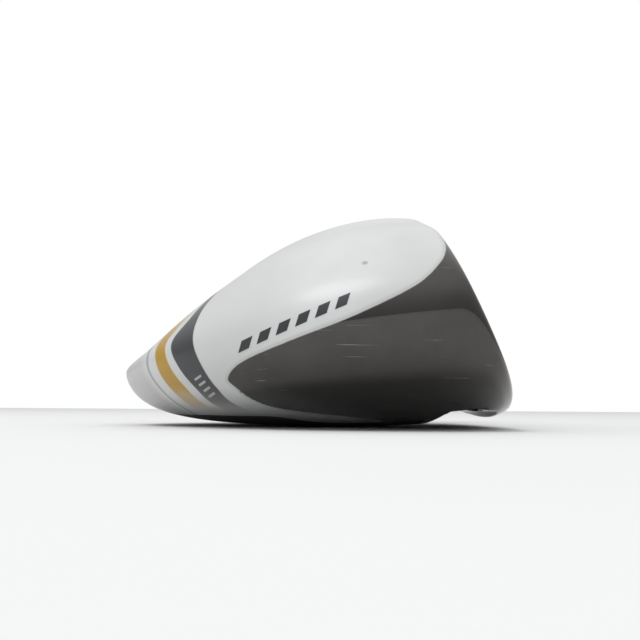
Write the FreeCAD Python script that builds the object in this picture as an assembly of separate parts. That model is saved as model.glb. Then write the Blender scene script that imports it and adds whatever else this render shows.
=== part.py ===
"""Head of a hybrid golf club: a hollow steel shell welded together from castings and plates.

The head stands on its sole at its lie angle, facing +X, with its toe towards -Y, its heel towards +Y
and +Z up. The part's origin is the centre of the hosel's mouth, on the shaft's axis. The shapes are
worked out in the head frame, which has the same axes: there x = 0 is the plane of the shaft's axis,
y = 0 is the face's centre and z = 0 is the ground. Sizes are in millimetres.

The outer skin is one smooth closed surface. Its control points lie on rings, from the middle of the
crown down to the middle of the sole, and each ring is the plan outline drawn in towards the centre.
The face is part of a large ball, so it bulges from heel to toe and rolls from top to bottom alike.
"""
import FreeCAD
import Part
import math
import os

V = FreeCAD.Vector

# ---- driving dimensions -------------------------------------------------------------------------
LOFT = 25.0  # degrees that the face leans back
LIE = 60.5  # degrees between the shaft and the ground
FACE_RADIUS = 280.0  # bulge and roll
FACE_CENTRE = V(5.9, 0, 17)  # point of the face nearest to its middle
FACE_EDGE_RADIUS = 2.4  # rounding between the face and the rest
CROWN_HEIGHT = 35.8
WALL = 1.3
SOLE_WALL = 1.5
FACE_WALL = 2.4
BEAD = 0.7  # how far a weld bead stands into the hollow
BEAD_WIDTH = 2.6

SHAFT_Y = 33.0  # where the shaft's axis meets the ground
HOSEL_HEIGHT = 41.5  # of the mouth's centre above the ground
HOSEL_TOP_RADIUS = 6.8
HOSEL_FOOT_RADIUS = 7.4
HOSEL_FOOT_AT = 14.0  # along the axis, from the ground
HOSEL_BLEND = 6.0
HOSEL_CORE_RADIUS = 6.4
HOSEL_CORE_FOOT = 14.0
RIM_CHAMFER = 0.4
BORE_RADIUS = 4.75  # for a 0.370 inch parallel tip
BORE_DEPTH = 30.0
DRAIN_RADIUS = 2.6  # the hole from the bore's floor to the hollow, which the stopper shuts
STOPPER_LENGTH = 4.2

POCKET_X = 4.4  # middle of the channel across the sole
POCKET_WIDTH = 3.4  # of the slot in the channel's roof
POCKET_SHOULDER = 8.0  # the channel's width at its roof
POCKET_ROOF = 3.0  # above the ground
POCKET_MOUTH = 12.0  # the channel flares out to this width
POCKET_MOUTH_AT = 0.9  # above the ground
POCKET_HALF_LENGTH = 26.0
POCKET_FLOOR = 4.8  # the slot's far end above the ground
POCKET_WALL = 1.3

RIB_WIDTH = 1.2
RIB_TOP = 4.6
RIB_X = (-21.0, -7.5)
RIB_YS = (-16.0, 0.0, 16.0)

PAD_CENTRE = (-33.0, -2.0)
PAD_RADII = (10.5, 23.0)
PAD_TOP = 9.5

GLUE_CENTRE = V(-2, -31, 3)
GLUE_RADIUS = 6.5

GROOVES = 8
GROOVE_PITCH = 2.7
GROOVE_WIDTH = 0.8
GROOVE_DEPTH = 0.4
GROOVE_FIRST = 7.2  # height of the lowest groove
GROOVE_SPAN = (-25.0, 21.0)

# ---- plan outlines, seen from above -------------------------------------------------------------
CENTRE = (-20.0, 0.0)
# Control points round the widest part. The front ones stand ahead of the face, which cuts them off.
OUTLINE = [
    (29, -13), (23, -32), (6, -44), (-10, -47.5), (-26, -44.5), (-40, -33.5), (-50.5, -18.5), (-56, -1),
    (-52.5, 16), (-42, 31), (-28, 40.5), (-13, 44.5), (3, 43.5), (22, 35), (29, 12),
]
CROWN_JOINT = [
    (-5, -26), (-12, -35), (-24, -35), (-36, -26), (-44, -14), (-47.5, 0), (-44.5, 13), (-36, 25),
    (-25, 32), (-13, 31), (-6, 20), (-4.5, -2),
]
CROWN_SPAN = (9, 50)  # heights between which the outline cuts the skin
SOLE_JOINT = [
    (-5, -30), (-14, -36), (-27, -32.5), (-38, -23), (-45.5, -11), (-48, 1), (-45, 13), (-37, 23),
    (-26, 31), (-14, 33.5), (-5, 28), (-4, 0),
]
SOLE_SPAN = (-2, 8)
FACE_JOINT = [
    (-32, 11), (-30, 24.5), (-18, 27.5), (18, 25), (23.5, 21), (23.5, 11), (16, 7), (-24, 7),
]  # across the face and up from the ground
FACE_JOINT_CORNER = 3.0
FACE_JOINT_DEPTH = 5.0  # enough to pass through the bulged plate, and clear of the sole

NODES = {}


def up_shaft(distance):
    """The point of the shaft's axis at that distance from the ground."""
    return V(0, SHAFT_Y, 0) + SHAFT_AXIS * distance


SHAFT_AXIS = V(0, math.cos(math.radians(LIE)), math.sin(math.radians(LIE)))
FACE_NORMAL = V(math.cos(math.radians(LOFT)), 0, math.sin(math.radians(LOFT)))
FACE_UP = V(-FACE_NORMAL.z, 0, FACE_NORMAL.x)
MOUTH_AT = HOSEL_HEIGHT / SHAFT_AXIS.z
MOUTH = up_shaft(MOUTH_AT)


# ---- the skin's surface -------------------------------------------------------------------------
def crown_height(x, y):
    return CROWN_HEIGHT - (x + 7) ** 2 / 75 - (y - 3) ** 2 / 217


def sole_height(x, y):
    """The sole is flat under the middle, rises to the back, and curves up to the toe and the heel."""
    return max(0, -x - 14) ** 2 / 980 + y**2 / 320 + 0.7 * (max(0, x + 4) / 14) ** 2


def waist_height(x):
    """Height of the widest part, which falls from the face to the tail."""
    return 9.9 + 0.17 * (min(x, 5) + 54)


def skin_rings(inset, sole_inset):
    """Rings of control points, from the crown's middle to the sole's, with the skin drawn in by inset."""
    cx, cy = CENTRE
    outline = []
    for x, y in OUTLINE:
        reach = math.hypot(x - cx, y - cy)
        share = 1 - inset / reach
        outline.append((cx + share * (x - cx), cy + share * (y - cy)))

    def ring(share, height):
        """The outline drawn in to a share of its size, which may vary round it, at a height."""
        points = []
        for x, y in outline:
            s = share(x) if callable(share) else share
            px, py = cx + s * (x - cx), cy + s * (y - cy)
            points.append(V(px, py, height(px, py)))
        return points

    top = crown_height(cx, cy) + 0.4 - inset
    top_slope = -2 * (cx + 7) / 75
    bottom = sole_height(cx, cy) + sole_inset

    def ridge_share(x):
        """The crown's soft ridge runs out to the edge at the tail and in towards the top in front."""
        return 0.76 + 0.16 * min(1, max(0, (-x - 5) / 50))

    return [
        ring(0, lambda x, y: top),
        ring(0.30, lambda x, y: top + top_slope * (x - cx)),
        ring(0.58, lambda x, y: crown_height(x, y) + 0.5 - inset),
        ring(ridge_share, lambda x, y: crown_height(x, y) + 1.5 - inset),
        ring(0.97, lambda x, y: 0.52 * crown_height(min(x, 12), y) + 0.48 * (waist_height(x) + 3) - inset / 2),
        ring(1.02, lambda x, y: waist_height(x)),
        ring(0.98, lambda x, y: 0.4 * waist_height(x) + 1.4 + sole_inset / 2),
        ring(0.80, lambda x, y: sole_height(x, y) + sole_inset),
        ring(0.40, lambda x, y: bottom),
        ring(0, lambda x, y: bottom),
    ]


def skin_solid(inset=0.0, sole_inset=0.0):
    """The closed smooth form through those rings, without the face's cut."""
    rings = skin_rings(inset, sole_inset)
    round_count, down_count = len(OUTLINE), len(rings)
    poles = [[ring[i] for ring in rings] for i in range(round_count)]
    surface = Part.BSplineSurface()
    surface.buildFromPolesMultsKnots(
        poles,
        [1] * (round_count + 1),
        [4] + [1] * (down_count - 4) + [4],
        [float(i) for i in range(round_count + 1)],
        [float(i) for i in range(down_count - 2)],
        True,
        False,
        3,
        3,
    )
    return Part.Solid(Part.Shell([surface.toShape()]))


def face_ball(depth=0.0):
    """The ball whose surface is the face, or lies at a depth behind it. Its seam is at the back."""
    ball = Part.makeSphere(FACE_RADIUS - depth)
    ball.rotate(V(0, 0, 0), V(0, 0, 1), 180)
    ball.translate(FACE_CENTRE - FACE_NORMAL * FACE_RADIUS)
    return ball


def is_ball(face, radius):
    return isinstance(face.Surface, Part.Sphere) and abs(face.Surface.Radius - radius) < 0.01


# ---- helpers for prisms and turned shapes -------------------------------------------------------
def grown(points, by):
    """A closed outline's points, each moved outwards square to the line between its neighbours."""
    moved = []
    for i, (x, y) in enumerate(points):
        before, after = points[i - 1], points[(i + 1) % len(points)]
        along = V(after[0] - before[0], after[1] - before[1], 0).normalize()
        moved.append((x - by * along.y, y + by * along.x))
    return moved


def plan_prism(points, low, high):
    """A prism with vertical sides over the smooth closed curve through the points."""
    curve = Part.BSplineCurve()
    curve.interpolate([V(x, y, low) for x, y in points], PeriodicFlag=True)
    return Part.Face(Part.Wire([curve.toShape()])).extrude(V(0, 0, high - low))


def plan_ring(points, low, high, half_width):
    """A vertical wall that stands astride a closed outline."""
    outer_side = plan_prism(grown(points, half_width), low, high)
    return outer_side.cut(plan_prism(grown(points, -half_width), low, high))


def face_prism(grow=0.0):
    """A prism square to the face over the face plate's outline, with rounded corners."""
    corners = []
    for y, z in FACE_JOINT:
        rise = (z - FACE_CENTRE.z) / FACE_UP.z
        corners.append(FACE_CENTRE + FACE_NORMAL * 2 + V(0, y, 0) + FACE_UP * rise)
    sharp = Part.makePolygon(corners + corners[:1])
    rounded = sharp.makeOffset2D(-FACE_JOINT_CORNER).makeOffset2D(FACE_JOINT_CORNER + grow)
    return Part.Face(rounded).extrude(FACE_NORMAL * -(FACE_JOINT_DEPTH + 2))


def turned(profile):
    """A solid of revolution about the shaft's axis, from (distance up the axis, radius) points."""
    outline = Part.makePolygon([V(radius, 0, at) for at, radius in profile + profile[:1]])
    solid = Part.Face(outline).revolve(V(0, 0, 0), V(0, 0, 1), 360)
    solid.rotate(V(0, 0, 0), V(1, 0, 0), LIE - 90)
    solid.translate(up_shaft(0))
    return solid


def shaft_rod(low, high, radius):
    """A round rod along the shaft's axis."""
    return Part.makeCylinder(radius, high - low, up_shaft(low), SHAFT_AXIS)


def block(low, high):
    """A box between two corners."""
    return Part.makeBox(high[0] - low[0], high[1] - low[1], high[2] - low[2], V(*low))


# ---- the shell ----------------------------------------------------------------------------------
def outer_form():
    """The whole outside: the skin, cut off by the face, with the hosel blended into the heel."""
    head = skin_solid().common(face_ball())
    face = next(f for f in head.Faces if is_ball(f, FACE_RADIUS))
    head = head.makeFillet(FACE_EDGE_RADIUS, face.Edges)
    neck = turned([(HOSEL_FOOT_AT, 0), (HOSEL_FOOT_AT, HOSEL_FOOT_RADIUS),
                   (MOUTH_AT - RIM_CHAMFER, HOSEL_TOP_RADIUS),
                   (MOUTH_AT, HOSEL_TOP_RADIUS - RIM_CHAMFER), (MOUTH_AT, 0)])
    foot = Part.makeSphere(HOSEL_FOOT_RADIUS, up_shaft(HOSEL_FOOT_AT))
    both = head.fuse(neck.fuse(foot).removeSplitter())

    def on_neck(face):
        return isinstance(face.Surface, Part.Cone) or is_ball(face, HOSEL_FOOT_RADIUS)

    blend = []
    for edge in both.Edges:
        faces = both.ancestorsOfType(edge, Part.Face)
        on_head = [f for f in faces if not on_neck(f) and not isinstance(f.Surface, Part.Plane)]
        if on_head and any(on_neck(f) for f in faces):
            blend.append(edge)
    return both.makeFillet(HOSEL_BLEND, blend)


def hollow_form(extra=0.0):
    """The hollow inside the shell, or the same drawn in further by extra."""
    return skin_solid(WALL + extra, SOLE_WALL + extra).common(face_ball(FACE_WALL + extra))


def pocket_cut():
    """The channel across the sole and the slot in its roof, carried on down past the skin."""
    throat, shoulder, mouth = POCKET_WIDTH / 2, POCKET_SHOULDER / 2, POCKET_MOUTH / 2
    flare = (mouth - shoulder) / (POCKET_ROOF - POCKET_MOUTH_AT)
    drop = 3.0
    half = [(throat, POCKET_FLOOR), (throat, POCKET_ROOF), (shoulder, POCKET_ROOF),
            (mouth + flare * drop, POCKET_MOUTH_AT - drop)]
    profile = [(POCKET_X + x, z) for x, z in half] + [(POCKET_X - x, z) for x, z in reversed(half)]
    corners = [V(x, -POCKET_HALF_LENGTH, z) for x, z in profile]
    return Part.Face(Part.makePolygon(corners + corners[:1])).extrude(V(0, 2 * POCKET_HALF_LENGTH, 0))


def pocket_trough():
    """The walls that close the channel and its slot off from the hollow."""
    end = POCKET_HALF_LENGTH + POCKET_WALL
    walls = []
    for half_width, roof in ((POCKET_WIDTH / 2, POCKET_FLOOR), (POCKET_SHOULDER / 2 + 1, POCKET_ROOF)):
        reach = half_width + POCKET_WALL
        walls.append(block((POCKET_X - reach, -end, 0), (POCKET_X + reach, end, roof + POCKET_WALL)))
    return walls[0].fuse(walls[1])


# ---- the pieces ---------------------------------------------------------------------------------
def make_shell(outer, hollow, crown_prism, sole_prism, plate_prism):
    """Splits the skin into the crown, the sole plate, the face plate and the body."""
    skin = outer.cut(hollow)
    NODES["crown"] = skin.common(crown_prism)
    NODES["sole_plate"] = skin.common(sole_prism)
    NODES["face_plate"] = skin.common(plate_prism)
    body = skin.cut(crown_prism).cut(sole_prism).cut(plate_prism)
    core = shaft_rod(HOSEL_CORE_FOOT, MOUTH_AT - 2, HOSEL_CORE_RADIUS).common(hollow)
    body = body.fuse([core, pocket_trough().common(hollow)])
    body = body.cut(shaft_rod(MOUTH_AT - BORE_DEPTH, MOUTH_AT + 5, BORE_RADIUS))
    body = body.cut(shaft_rod(HOSEL_CORE_FOOT - 1, MOUTH_AT - BORE_DEPTH + 1, DRAIN_RADIUS))
    NODES["body"] = body.cut(pocket_cut())


def make_inner_pieces(hollow):
    """The ribs under the sole plate's skin, and what is fixed inside the hollow."""
    ribs = [block((RIB_X[0], y - RIB_WIDTH / 2, 0), (RIB_X[1], y + RIB_WIDTH / 2, RIB_TOP)) for y in RIB_YS]
    NODES["sole_plate"] = NODES["sole_plate"].fuse([rib.common(hollow) for rib in ribs])

    oval = Part.Ellipse(V(0, 0, 0), max(PAD_RADII), min(PAD_RADII))
    oval_edge = oval.toShape()
    oval_edge.rotate(V(0, 0, 0), V(0, 0, 1), 90)
    oval_edge.translate(V(PAD_CENTRE[0], PAD_CENTRE[1], 0))
    pad = Part.Face(Part.Wire([oval_edge])).extrude(V(0, 0, PAD_TOP))
    NODES["weight_pad"] = pad.common(hollow)

    drop = Part.makeSphere(GLUE_RADIUS, GLUE_CENTRE)
    NODES["hot_melt"] = drop.common(hollow).cut(pocket_trough())

    floor = MOUTH_AT - BORE_DEPTH
    NODES["hosel_stopper"] = shaft_rod(floor - STOPPER_LENGTH, floor, DRAIN_RADIUS)


def cut_grooves():
    """Cuts the score lines, which follow the face's bulge at one depth."""
    layer = face_ball(-1).cut(face_ball(GROOVE_DEPTH))
    grooves = []
    for i in range(GROOVES):
        middle = FACE_CENTRE + FACE_UP * ((GROOVE_FIRST - FACE_CENTRE.z) / FACE_UP.z + i * GROOVE_PITCH)
        slab = Part.makeBox(12, GROOVE_SPAN[1] - GROOVE_SPAN[0], GROOVE_WIDTH)
        slab.translate(V(-6, GROOVE_SPAN[0], -GROOVE_WIDTH / 2))
        slab.rotate(V(0, 0, 0), V(0, 1, 0), -LOFT)
        slab.translate(middle)
        grooves.append(slab.common(layer))
    NODES["face_plate"] = NODES["face_plate"].cut(grooves)


def make_beads(hollow, crown_prism, sole_prism):
    """Weld beads on the inside of the three joints, each a strip astride its joint."""
    layer = hollow.cut(hollow_form(BEAD))
    half = BEAD_WIDTH / 2
    strips = {
        "crown_weld": plan_ring(CROWN_JOINT, *CROWN_SPAN, half),
        "sole_weld": plan_ring(SOLE_JOINT, *SOLE_SPAN, half),
        "face_weld": face_prism(half).cut(face_prism(-half)),
    }
    for name, strip in strips.items():
        NODES[name] = layer.common(strip).cut(pocket_trough())
    NODES["crown_weld"] = NODES["crown_weld"].cut(NODES["face_weld"])
    NODES["weight_pad"] = NODES["weight_pad"].cut(NODES["sole_weld"])
    NODES["hot_melt"] = NODES["hot_melt"].cut([NODES["sole_weld"], NODES["face_weld"]])


def export():
    os.makedirs("parts", exist_ok=True)
    for name, shape in NODES.items():
        shape = shape.copy()
        shape.translate(MOUTH * -1)
        shape.exportStep(f"parts/{name}.step")
        solids = shape.Solids
        print(name, "solids", len(solids), "valid", shape.isValid(), "volume", round(shape.Volume, 1))
    steel = [shape.Volume for name, shape in NODES.items() if name not in ("hot_melt", "hosel_stopper")]
    print("steel volume", round(sum(steel), 1))


outer = outer_form()
hollow = hollow_form()
crown_prism = plan_prism(CROWN_JOINT, *CROWN_SPAN)
sole_prism = plan_prism(SOLE_JOINT, *SOLE_SPAN)
plate_prism = face_prism()
make_shell(outer, hollow, crown_prism, sole_prism, plate_prism)
cut_grooves()
make_inner_pieces(hollow)
make_beads(hollow, crown_prism, sole_prism)
export()
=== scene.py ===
import math

import bpy
import bmesh
import numpy as np
from mathutils import Matrix, Vector
from mathutils.bvhtree import BVHTree


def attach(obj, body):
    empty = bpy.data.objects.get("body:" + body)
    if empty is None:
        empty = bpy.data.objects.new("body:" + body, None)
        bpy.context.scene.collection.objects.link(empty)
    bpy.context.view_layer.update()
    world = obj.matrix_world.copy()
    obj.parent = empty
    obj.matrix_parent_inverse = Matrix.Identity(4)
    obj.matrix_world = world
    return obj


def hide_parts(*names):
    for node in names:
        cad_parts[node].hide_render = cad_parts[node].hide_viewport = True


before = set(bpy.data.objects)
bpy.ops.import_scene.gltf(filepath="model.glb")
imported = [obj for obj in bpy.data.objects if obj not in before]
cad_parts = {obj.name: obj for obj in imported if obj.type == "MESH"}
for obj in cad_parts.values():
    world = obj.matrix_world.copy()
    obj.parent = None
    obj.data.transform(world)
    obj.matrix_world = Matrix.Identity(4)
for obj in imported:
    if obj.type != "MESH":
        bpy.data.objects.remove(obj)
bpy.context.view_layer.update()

# ---- the head's dimensions, as in the solid model -------------------------------------------------
LOFT = math.radians(25.0)
LIE = math.radians(60.5)
FACE_RADIUS = 280.0
FACE_CENTRE = np.array([5.9, 0.0, 17.0])
FACE_EDGE = 2.4
LEADING_EDGE = 2.4  # added to the rounding below the face
FOREMOST = 11.38
NOSE_SOFTNESS = 0.6
FACE_WALL = 2.4
CROWN_HEIGHT = 35.8
WALL = 1.3
SHAFT_Y = 33.0
HOSEL_HEIGHT = 41.5
HOSEL_TOP_RADIUS = 6.8
HOSEL_FOOT_RADIUS = 7.4
HOSEL_FOOT_AT = 14.0
BORE_RADIUS = 4.75
BORE_DEPTH = 30.0
POCKET_X = 4.4
POCKET_WIDTH = 3.4
POCKET_SHOULDER = 8.0
POCKET_ROOF = 3.0
POCKET_MOUTH = 12.0
POCKET_MOUTH_AT = 0.9
POCKET_HALF_LENGTH = 26.0
POCKET_FLOOR = 4.8
POCKET_WALL = 1.3
GROOVES = 8
GROOVE_PITCH = 2.7
GROOVE_WIDTH = 0.8
GROOVE_DEPTH = 0.4
GROOVE_FIRST = 7.2
GROOVE_SPAN = (-25.0, 21.0)

CENTRE = np.array([-20.0, 0.0])
OUTLINE = [
    (29, -13), (23, -32), (6, -44), (-10, -47.5), (-26, -44.5), (-40, -33.5), (-50.5, -18.5), (-56, -1),
    (-52.5, 16), (-42, 31), (-28, 40.5), (-13, 44.5), (3, 43.5), (22, 35), (29, 12),
]
CROWN_JOINT = [
    (-5, -26), (-12, -35), (-24, -35), (-36, -26), (-44, -14), (-47.5, 0), (-44.5, 13), (-36, 25),
    (-25, 32), (-13, 31), (-6, 20), (-4.5, -2),
]
SOLE_JOINT = [
    (-5, -30), (-14, -36), (-27, -32.5), (-38, -23), (-45.5, -11), (-48, 1), (-45, 13), (-37, 23),
    (-26, 31), (-14, 33.5), (-5, 28), (-4, 0),
]
FACE_JOINT = [(-32, 11), (-30, 24.5), (-18, 27.5), (18, 25), (23.5, 21), (23.5, 11), (16, 7), (-24, 7)]
FACE_JOINT_CORNER = 3.0
FACE_JOINT_DEPTH = 5.0

SHAFT_AXIS = np.array([0.0, math.cos(LIE), math.sin(LIE)])
MOUTH_AT = HOSEL_HEIGHT / SHAFT_AXIS[2]
MOUTH = np.array([0.0, SHAFT_Y, 0.0]) + SHAFT_AXIS * MOUTH_AT
FACE_NORMAL = np.array([math.cos(LOFT), 0.0, math.sin(LOFT)])
FACE_UP = np.array([-math.sin(LOFT), 0.0, math.cos(LOFT)])
BALL_CENTRE = FACE_CENTRE - FACE_NORMAL * FACE_RADIUS

# ---- how finely the skin is divided ---------------------------------------------------------------
COLUMNS = 420
CROWN_ROWS = 90
BELT_ROWS = 190
SOLE_ROWS = 70
SUPPORT = 0.0008  # share of a stretch that lies between a joint and its first ring


def to_scene(points):
    """Head frame in millimetres to the scene's metres about the hosel's mouth."""
    return (np.asarray(points, float) - MOUTH) * 0.001


def to_head(points):
    return np.asarray(points, float) * 1000.0 + MOUTH


# ---- the skin's surface ---------------------------------------------------------------------------
def crown_height(x, y):
    return CROWN_HEIGHT - (x + 7) ** 2 / 75 - (y - 3) ** 2 / 217


def sole_height(x, y):
    return max(0, -x - 14) ** 2 / 980 + y**2 / 320 + 0.7 * (max(0, x + 4) / 14) ** 2


def waist_height(x):
    return 9.9 + 0.17 * (min(x, 5) + 54)


def skin_net():
    """The skin's control points: rings from the middle of the crown to the middle of the sole."""
    cx, cy = CENTRE

    def ring(share, height):
        points = []
        for x, y in OUTLINE:
            s = share(x) if callable(share) else share
            px, py = cx + s * (x - cx), cy + s * (y - cy)
            points.append((px, py, height(px, py)))
        return points

    top = crown_height(cx, cy) + 0.4
    top_slope = -2 * (cx + 7) / 75
    bottom = sole_height(cx, cy)
    return np.array([
        ring(0, lambda x, y: top),
        ring(0.30, lambda x, y: top + top_slope * (x - cx)),
        ring(0.58, lambda x, y: crown_height(x, y) + 0.5),
        ring(lambda x: 0.76 + 0.16 * min(1, max(0, (-x - 5) / 50)), lambda x, y: crown_height(x, y) + 1.5),
        ring(0.97, lambda x, y: 0.52 * crown_height(min(x, 12), y) + 0.48 * (waist_height(x) + 3)),
        ring(1.02, lambda x, y: waist_height(x)),
        ring(0.98, lambda x, y: 0.4 * waist_height(x) + 1.4),
        ring(0.80, sole_height),
        ring(0.40, lambda x, y: bottom),
        ring(0, lambda x, y: bottom),
    ])


NET = skin_net()
DOWN_END = len(NET) - 3.0  # the surface's parameter at the middle of the sole


def round_weights(u):
    """Uniform periodic cubic weights, one row per value and one column per control column."""
    count = NET.shape[1]
    whole = np.floor(u).astype(int)
    f = u - whole
    terms = [(1 - f) ** 3, 3 * f**3 - 6 * f**2 + 4, -3 * f**3 + 3 * f**2 + 3 * f + 1, f**3]
    weights = np.zeros((len(u), count))
    for step, term in zip((-1, 0, 1, 2), terms):
        np.add.at(weights, (np.arange(len(u)), (whole + step) % count), term / 6)
    return weights


def down_weights(v):
    """Clamped cubic weights, one column per ring."""
    knots = np.concatenate([[0.0] * 3, np.arange(DOWN_END + 1), [DOWN_END] * 3])
    v = np.clip(v, 0, DOWN_END - 1e-9)
    basis = [((knots[i] <= v) & (v < knots[i + 1])).astype(float) for i in range(len(knots) - 1)]
    for degree in (1, 2, 3):
        raised = []
        for i in range(len(basis) - 1):
            rise, fall = knots[i + degree] - knots[i], knots[i + degree + 1] - knots[i + 1]
            part = (v - knots[i]) / rise * basis[i] if rise else 0.0
            if fall:
                part = part + (knots[i + degree + 1] - v) / fall * basis[i + 1]
            raised.append(part + np.zeros_like(v))
        basis = raised
    return np.stack(basis, 1)


def past_face(points):
    """How far points stand in front of the face's ball."""
    return np.linalg.norm(points - BALL_CENTRE, axis=-1) - FACE_RADIUS


def cut_face(points):
    """Moves what stands in front of the face back on to it along X, with a rounded edge."""
    over = past_face(points)
    low = np.clip((11 - points[..., 2]) / 7, 0, 1)
    edge = FACE_EDGE + LEADING_EDGE * low**2 * (3 - 2 * low)
    rounded = over - (over + edge) ** 2 / (4 * edge)
    depth = np.where(over > edge, 0.0, np.where(over < -edge, over, rounded))
    side = points[..., 1] ** 2 + (points[..., 2] - BALL_CENTRE[2]) ** 2
    x = BALL_CENTRE[0] + np.sqrt(np.maximum((FACE_RADIUS + depth) ** 2 - side, 0))
    cut = points.copy()
    forward = np.where(over > -edge, np.minimum(points[..., 0], x), points[..., 0])
    gap = np.clip(FOREMOST - forward, -NOSE_SOFTNESS, NOSE_SOFTNESS)
    nose = FOREMOST - (gap + NOSE_SOFTNESS) ** 2 / (4 * NOSE_SOFTNESS)
    cut[..., 0] = np.where(FOREMOST - forward < NOSE_SOFTNESS, nose, forward)
    return cut


def skin_points(u, v):
    """Points of the outer skin for flat arrays of parameters."""
    across = np.einsum("nc,rcd->nrd", round_weights(u), NET)
    return cut_face(np.einsum("nr,nrd->nd", down_weights(v), across))


def skin_normals(u, v):
    step = 2e-3
    v = np.clip(v, 0.03, DOWN_END - 0.03)
    along = skin_points(u + step, v) - skin_points(u - step, v)
    down = skin_points(u, v + step) - skin_points(u, v - step)
    normal = np.cross(along, down)
    return normal / np.maximum(np.linalg.norm(normal, axis=1, keepdims=True), 1e-12)


class Skin:
    """The whole outer skin as one surface that can be asked for its nearest point or for a ray's hit."""

    def __init__(self, columns=360, rows=300):
        u = np.arange(columns) / columns * NET.shape[1]
        v = np.linspace(0.002, DOWN_END - 0.002, rows)
        grid_u, grid_v = np.meshgrid(u, v)
        points = skin_points(grid_u.ravel(), grid_v.ravel())
        self.normals = skin_normals(grid_u.ravel(), grid_v.ravel())
        self.points = points
        self.faces = []
        numbers = np.arange(len(points)).reshape(rows, columns).tolist()
        for first, second in zip(numbers[:-1], numbers[1:]):
            self.faces.extend(strip_faces(first, second))
        self.tree = BVHTree.FromPolygons(points.tolist(), self.faces)

    def smooth_normal(self, place, face):
        corners = list(self.faces[face])
        gaps = np.linalg.norm(self.points[corners] - place, axis=1)
        normal = (self.normals[corners] / (gaps[:, None] + 1e-4)).sum(0)
        return normal / np.linalg.norm(normal)

    def nearest(self, point):
        place, _, face, _ = self.tree.find_nearest(Vector(point))
        place = np.array(place)
        return place, self.smooth_normal(place, face)

    def hit(self, start, along):
        place, _, face, _ = self.tree.ray_cast(Vector(start), Vector(along))
        if place is None:
            return np.full(3, np.inf), np.zeros(3)
        place = np.array(place)
        return place, self.smooth_normal(place, face)


# ---- smooth outlines ------------------------------------------------------------------------------
def smooth_closed(points, steps=16):
    """A closed curve through the points, as many short pieces."""
    p = np.array(points, float)
    before, after, beyond = np.roll(p, 1, 0), np.roll(p, -1, 0), np.roll(p, -2, 0)
    t = (np.arange(steps) / steps)[None, :, None]
    a, b, c, d = before[:, None], p[:, None], after[:, None], beyond[:, None]
    curve = b + 0.5 * t * (c - a + t * (2 * a - 5 * b + 4 * c - d + t * (3 * (b - c) + d - a)))
    return curve.reshape(-1, p.shape[1])


def smooth_through(keys, values, at):
    """A smooth open curve of values over rising keys."""
    slopes = np.gradient(values, keys)
    i = np.clip(np.searchsorted(keys, at) - 1, 0, len(keys) - 2)
    span = keys[i + 1] - keys[i]
    t = np.clip((at - keys[i]) / span, 0, 1)
    rise = values[i] + (values[i + 1] - values[i]) * (3 * t**2 - 2 * t**3)
    return rise + span * (slopes[i] * (t**3 - 2 * t**2 + t) + slopes[i + 1] * (t**3 - t**2))


def inside_distance(points, outline):
    """Distance from 2-D points to a closed outline, positive inside."""
    start, end = outline, np.roll(outline, -1, 0)
    edge = end - start
    result = np.empty(len(points))
    for low in range(0, len(points), 20000):
        p = points[low:low + 20000, None]
        t = np.clip(((p - start) * edge).sum(-1) / (edge**2).sum(-1), 0, 1)
        gap = np.sqrt((((p - start) - t[..., None] * edge) ** 2).sum(-1)).min(1)
        crosses = (start[:, 1] > p[..., 1]) != (end[:, 1] > p[..., 1])
        with np.errstate(divide="ignore", invalid="ignore"):
            where = start[:, 0] + (p[..., 1] - start[:, 1]) / edge[:, 1] * edge[:, 0]
        odd = (crosses & (p[..., 0] < where)).sum(1) % 2
        result[low:low + 20000] = np.where(odd == 1, gap, -gap)
    return result


# ---- meshes ---------------------------------------------------------------------------------------
def add_mesh(name, points, faces, sharp=30.0):
    """A smooth-shaded object from points in the head frame, with its faces turned outwards."""
    mesh = bpy.data.meshes.new(name)
    mesh.from_pydata(to_scene(points).tolist(), [], faces)
    work = bmesh.new()
    work.from_mesh(mesh)
    bmesh.ops.recalc_face_normals(work, faces=work.faces)
    work.to_mesh(mesh)
    work.free()
    finish_shading(mesh, sharp)
    piece = bpy.data.objects.new(name, mesh)
    bpy.context.scene.collection.objects.link(piece)
    return piece


def finish_shading(mesh, sharp=30.0):
    mesh.polygons.foreach_set("use_smooth", [True] * len(mesh.polygons))
    mesh.set_sharp_from_angle(angle=math.radians(sharp))


def head_points(mesh):
    flat = np.empty(len(mesh.vertices) * 3)
    mesh.vertices.foreach_get("co", flat)
    return to_head(flat.reshape(-1, 3))


def strip_faces(first, second, closed=True):
    """Quads between two rows of point numbers."""
    count = len(first)
    last = count if closed else count - 1
    return [(first[i], first[(i + 1) % count], second[(i + 1) % count], second[i]) for i in range(last)]


def slab_faces(front, back):
    """Faces of a slab between two grids of point numbers."""
    faces = []
    for grid in (front, back):
        for lower, upper in zip(grid[:-1].tolist(), grid[1:].tolist()):
            faces.extend(strip_faces(lower, upper, closed=False))
    for side in (0, -1):
        faces.extend(strip_faces(front[side].tolist(), back[side].tolist(), closed=False))
    for side in (0, -1):
        faces.extend(strip_faces(front[:, side].tolist(), back[:, side].tolist(), closed=False))
    return faces


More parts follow.
